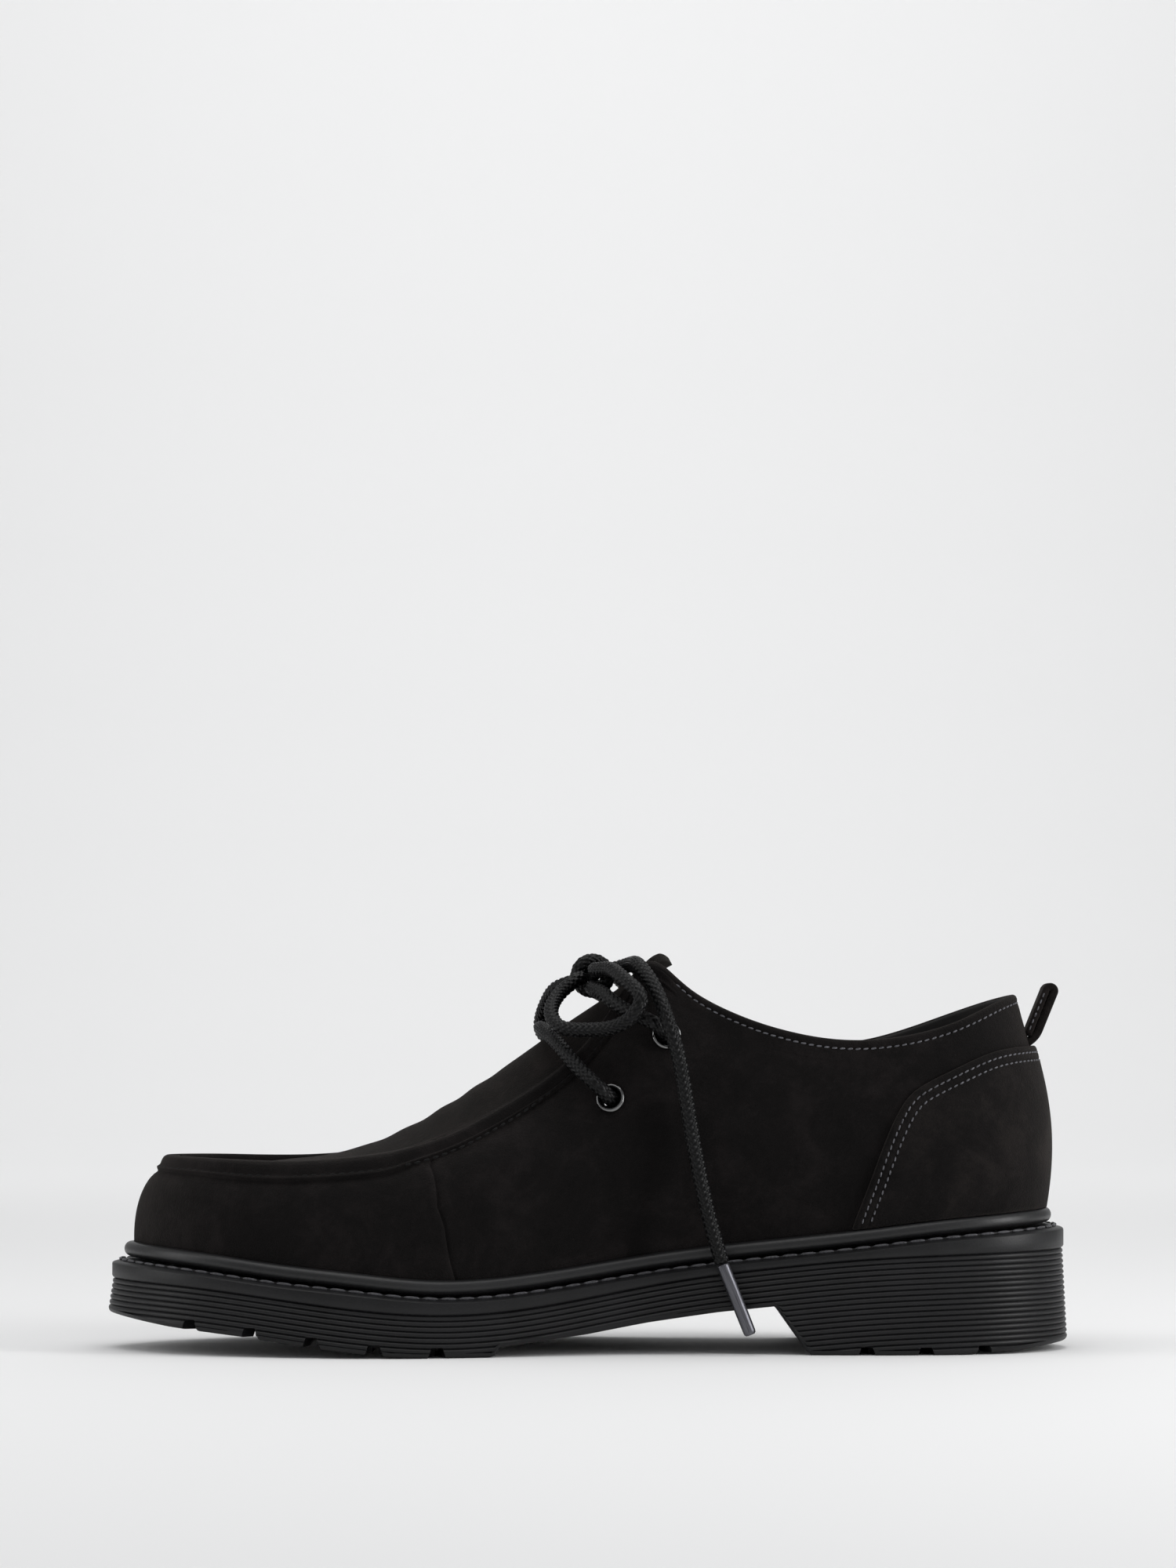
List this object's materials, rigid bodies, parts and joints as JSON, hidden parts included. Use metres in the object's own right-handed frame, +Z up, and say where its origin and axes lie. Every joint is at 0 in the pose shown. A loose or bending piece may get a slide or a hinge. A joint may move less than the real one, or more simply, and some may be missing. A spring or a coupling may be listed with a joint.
{
  "type": "moc-toe lace-up shoe",
  "caption": "Black nubuck moc-toe lace-up shoe with a rolled apron seam, heel counter, pull loop, round laces in a bow and a chunky ribbed rubber sole.",
  "frame": {"origin": "on the floor, under the middle of the sole's length and width", "axes": "+Z up, +X towards the heel, -X towards the toe, -Y towards the inner (medial) side"},
  "size_m": [0.3, 0.1084, 0.1234],
  "materials": {
    "nubuck": "matt black nubuck",
    "rubber": "satin black rubber",
    "footbed": "matt black lining leather",
    "webbing": "matt black folded strap",
    "black_metal": "gloss black enamel",
    "cord": "black waxed braid",
    "steel": "brushed grey metal"
  },
  "bodies": {
    "root": {"outsole": "rubber", "welt": "rubber", "insole": "footbed", "upper": "nubuck", "tongue": "nubuck", "heel_counter": "nubuck", "pull_loop": "webbing", "eyelet_lower_medial": "black_metal", "eyelet_lower_lateral": "black_metal", "eyelet_upper_medial": "black_metal", "eyelet_upper_lateral": "black_metal", "lace_lower_bar": "cord", "lace_upper_medial": "cord", "lace_upper_lateral": "cord", "lace_knot": "cord", "lace_loop_medial": "cord", "lace_loop_lateral": "cord", "lace_end_medial": "cord", "lace_end_lateral": "cord", "aglet_medial": "steel", "aglet_lateral": "steel"}
  },
  "joints": []
}
